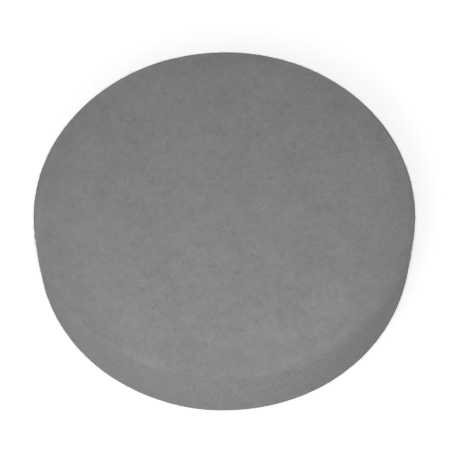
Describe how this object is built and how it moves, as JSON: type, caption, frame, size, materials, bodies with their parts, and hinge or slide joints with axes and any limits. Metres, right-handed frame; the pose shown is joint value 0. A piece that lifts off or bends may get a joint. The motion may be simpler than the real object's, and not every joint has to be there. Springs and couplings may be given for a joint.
{
  "type": "felt polishing wheel",
  "caption": "Thick pressed-wool felt disc on an aluminium backing plate, with a steel hub and set screws that grip a lapidary arbor's shaft end.",
  "frame": {"origin": "centre of the hub's mouth, on the spin axis, at the wheel's lowest point", "axes": "+Z along the spin axis from the hub's mouth towards the felt's working face; -Y and +X point out through the two set screws"},
  "size_m": [0.1524, 0.1524, 0.0575],
  "materials": {
    "felt": "pressed grey wool felt",
    "cement": "dried contact cement, semi-gloss",
    "plate": "turned, fine concentric tool marks",
    "hub": "turned steel, bright zinc plated",
    "plate_screws": "zinc plated",
    "set_screws": "black oxide, oiled"
  },
  "bodies": {
    "wheel": {"felt_disc": "felt", "cement_film": "cement", "backing_plate": "plate", "hub": "hub", "plate_screw_1": "plate_screws", "plate_screw_2": "plate_screws", "plate_screw_3": "plate_screws", "plate_screw_4": "plate_screws"},
    "set_screw_front": {"set_screw_front": "set_screws"},
    "set_screw_side": {"set_screw_side": "set_screws"}
  },
  "joints": [
    {"name": "front_screw_travel", "type": "slide", "parent": "wheel", "child": "set_screw_front", "axis": [0, 1, 0], "range_m": [-0.004, 0.0015]},
    {"name": "side_screw_travel", "type": "slide", "parent": "wheel", "child": "set_screw_side", "axis": [-1, 0, 0], "range_m": [-0.004, 0.0015]}
  ]
}
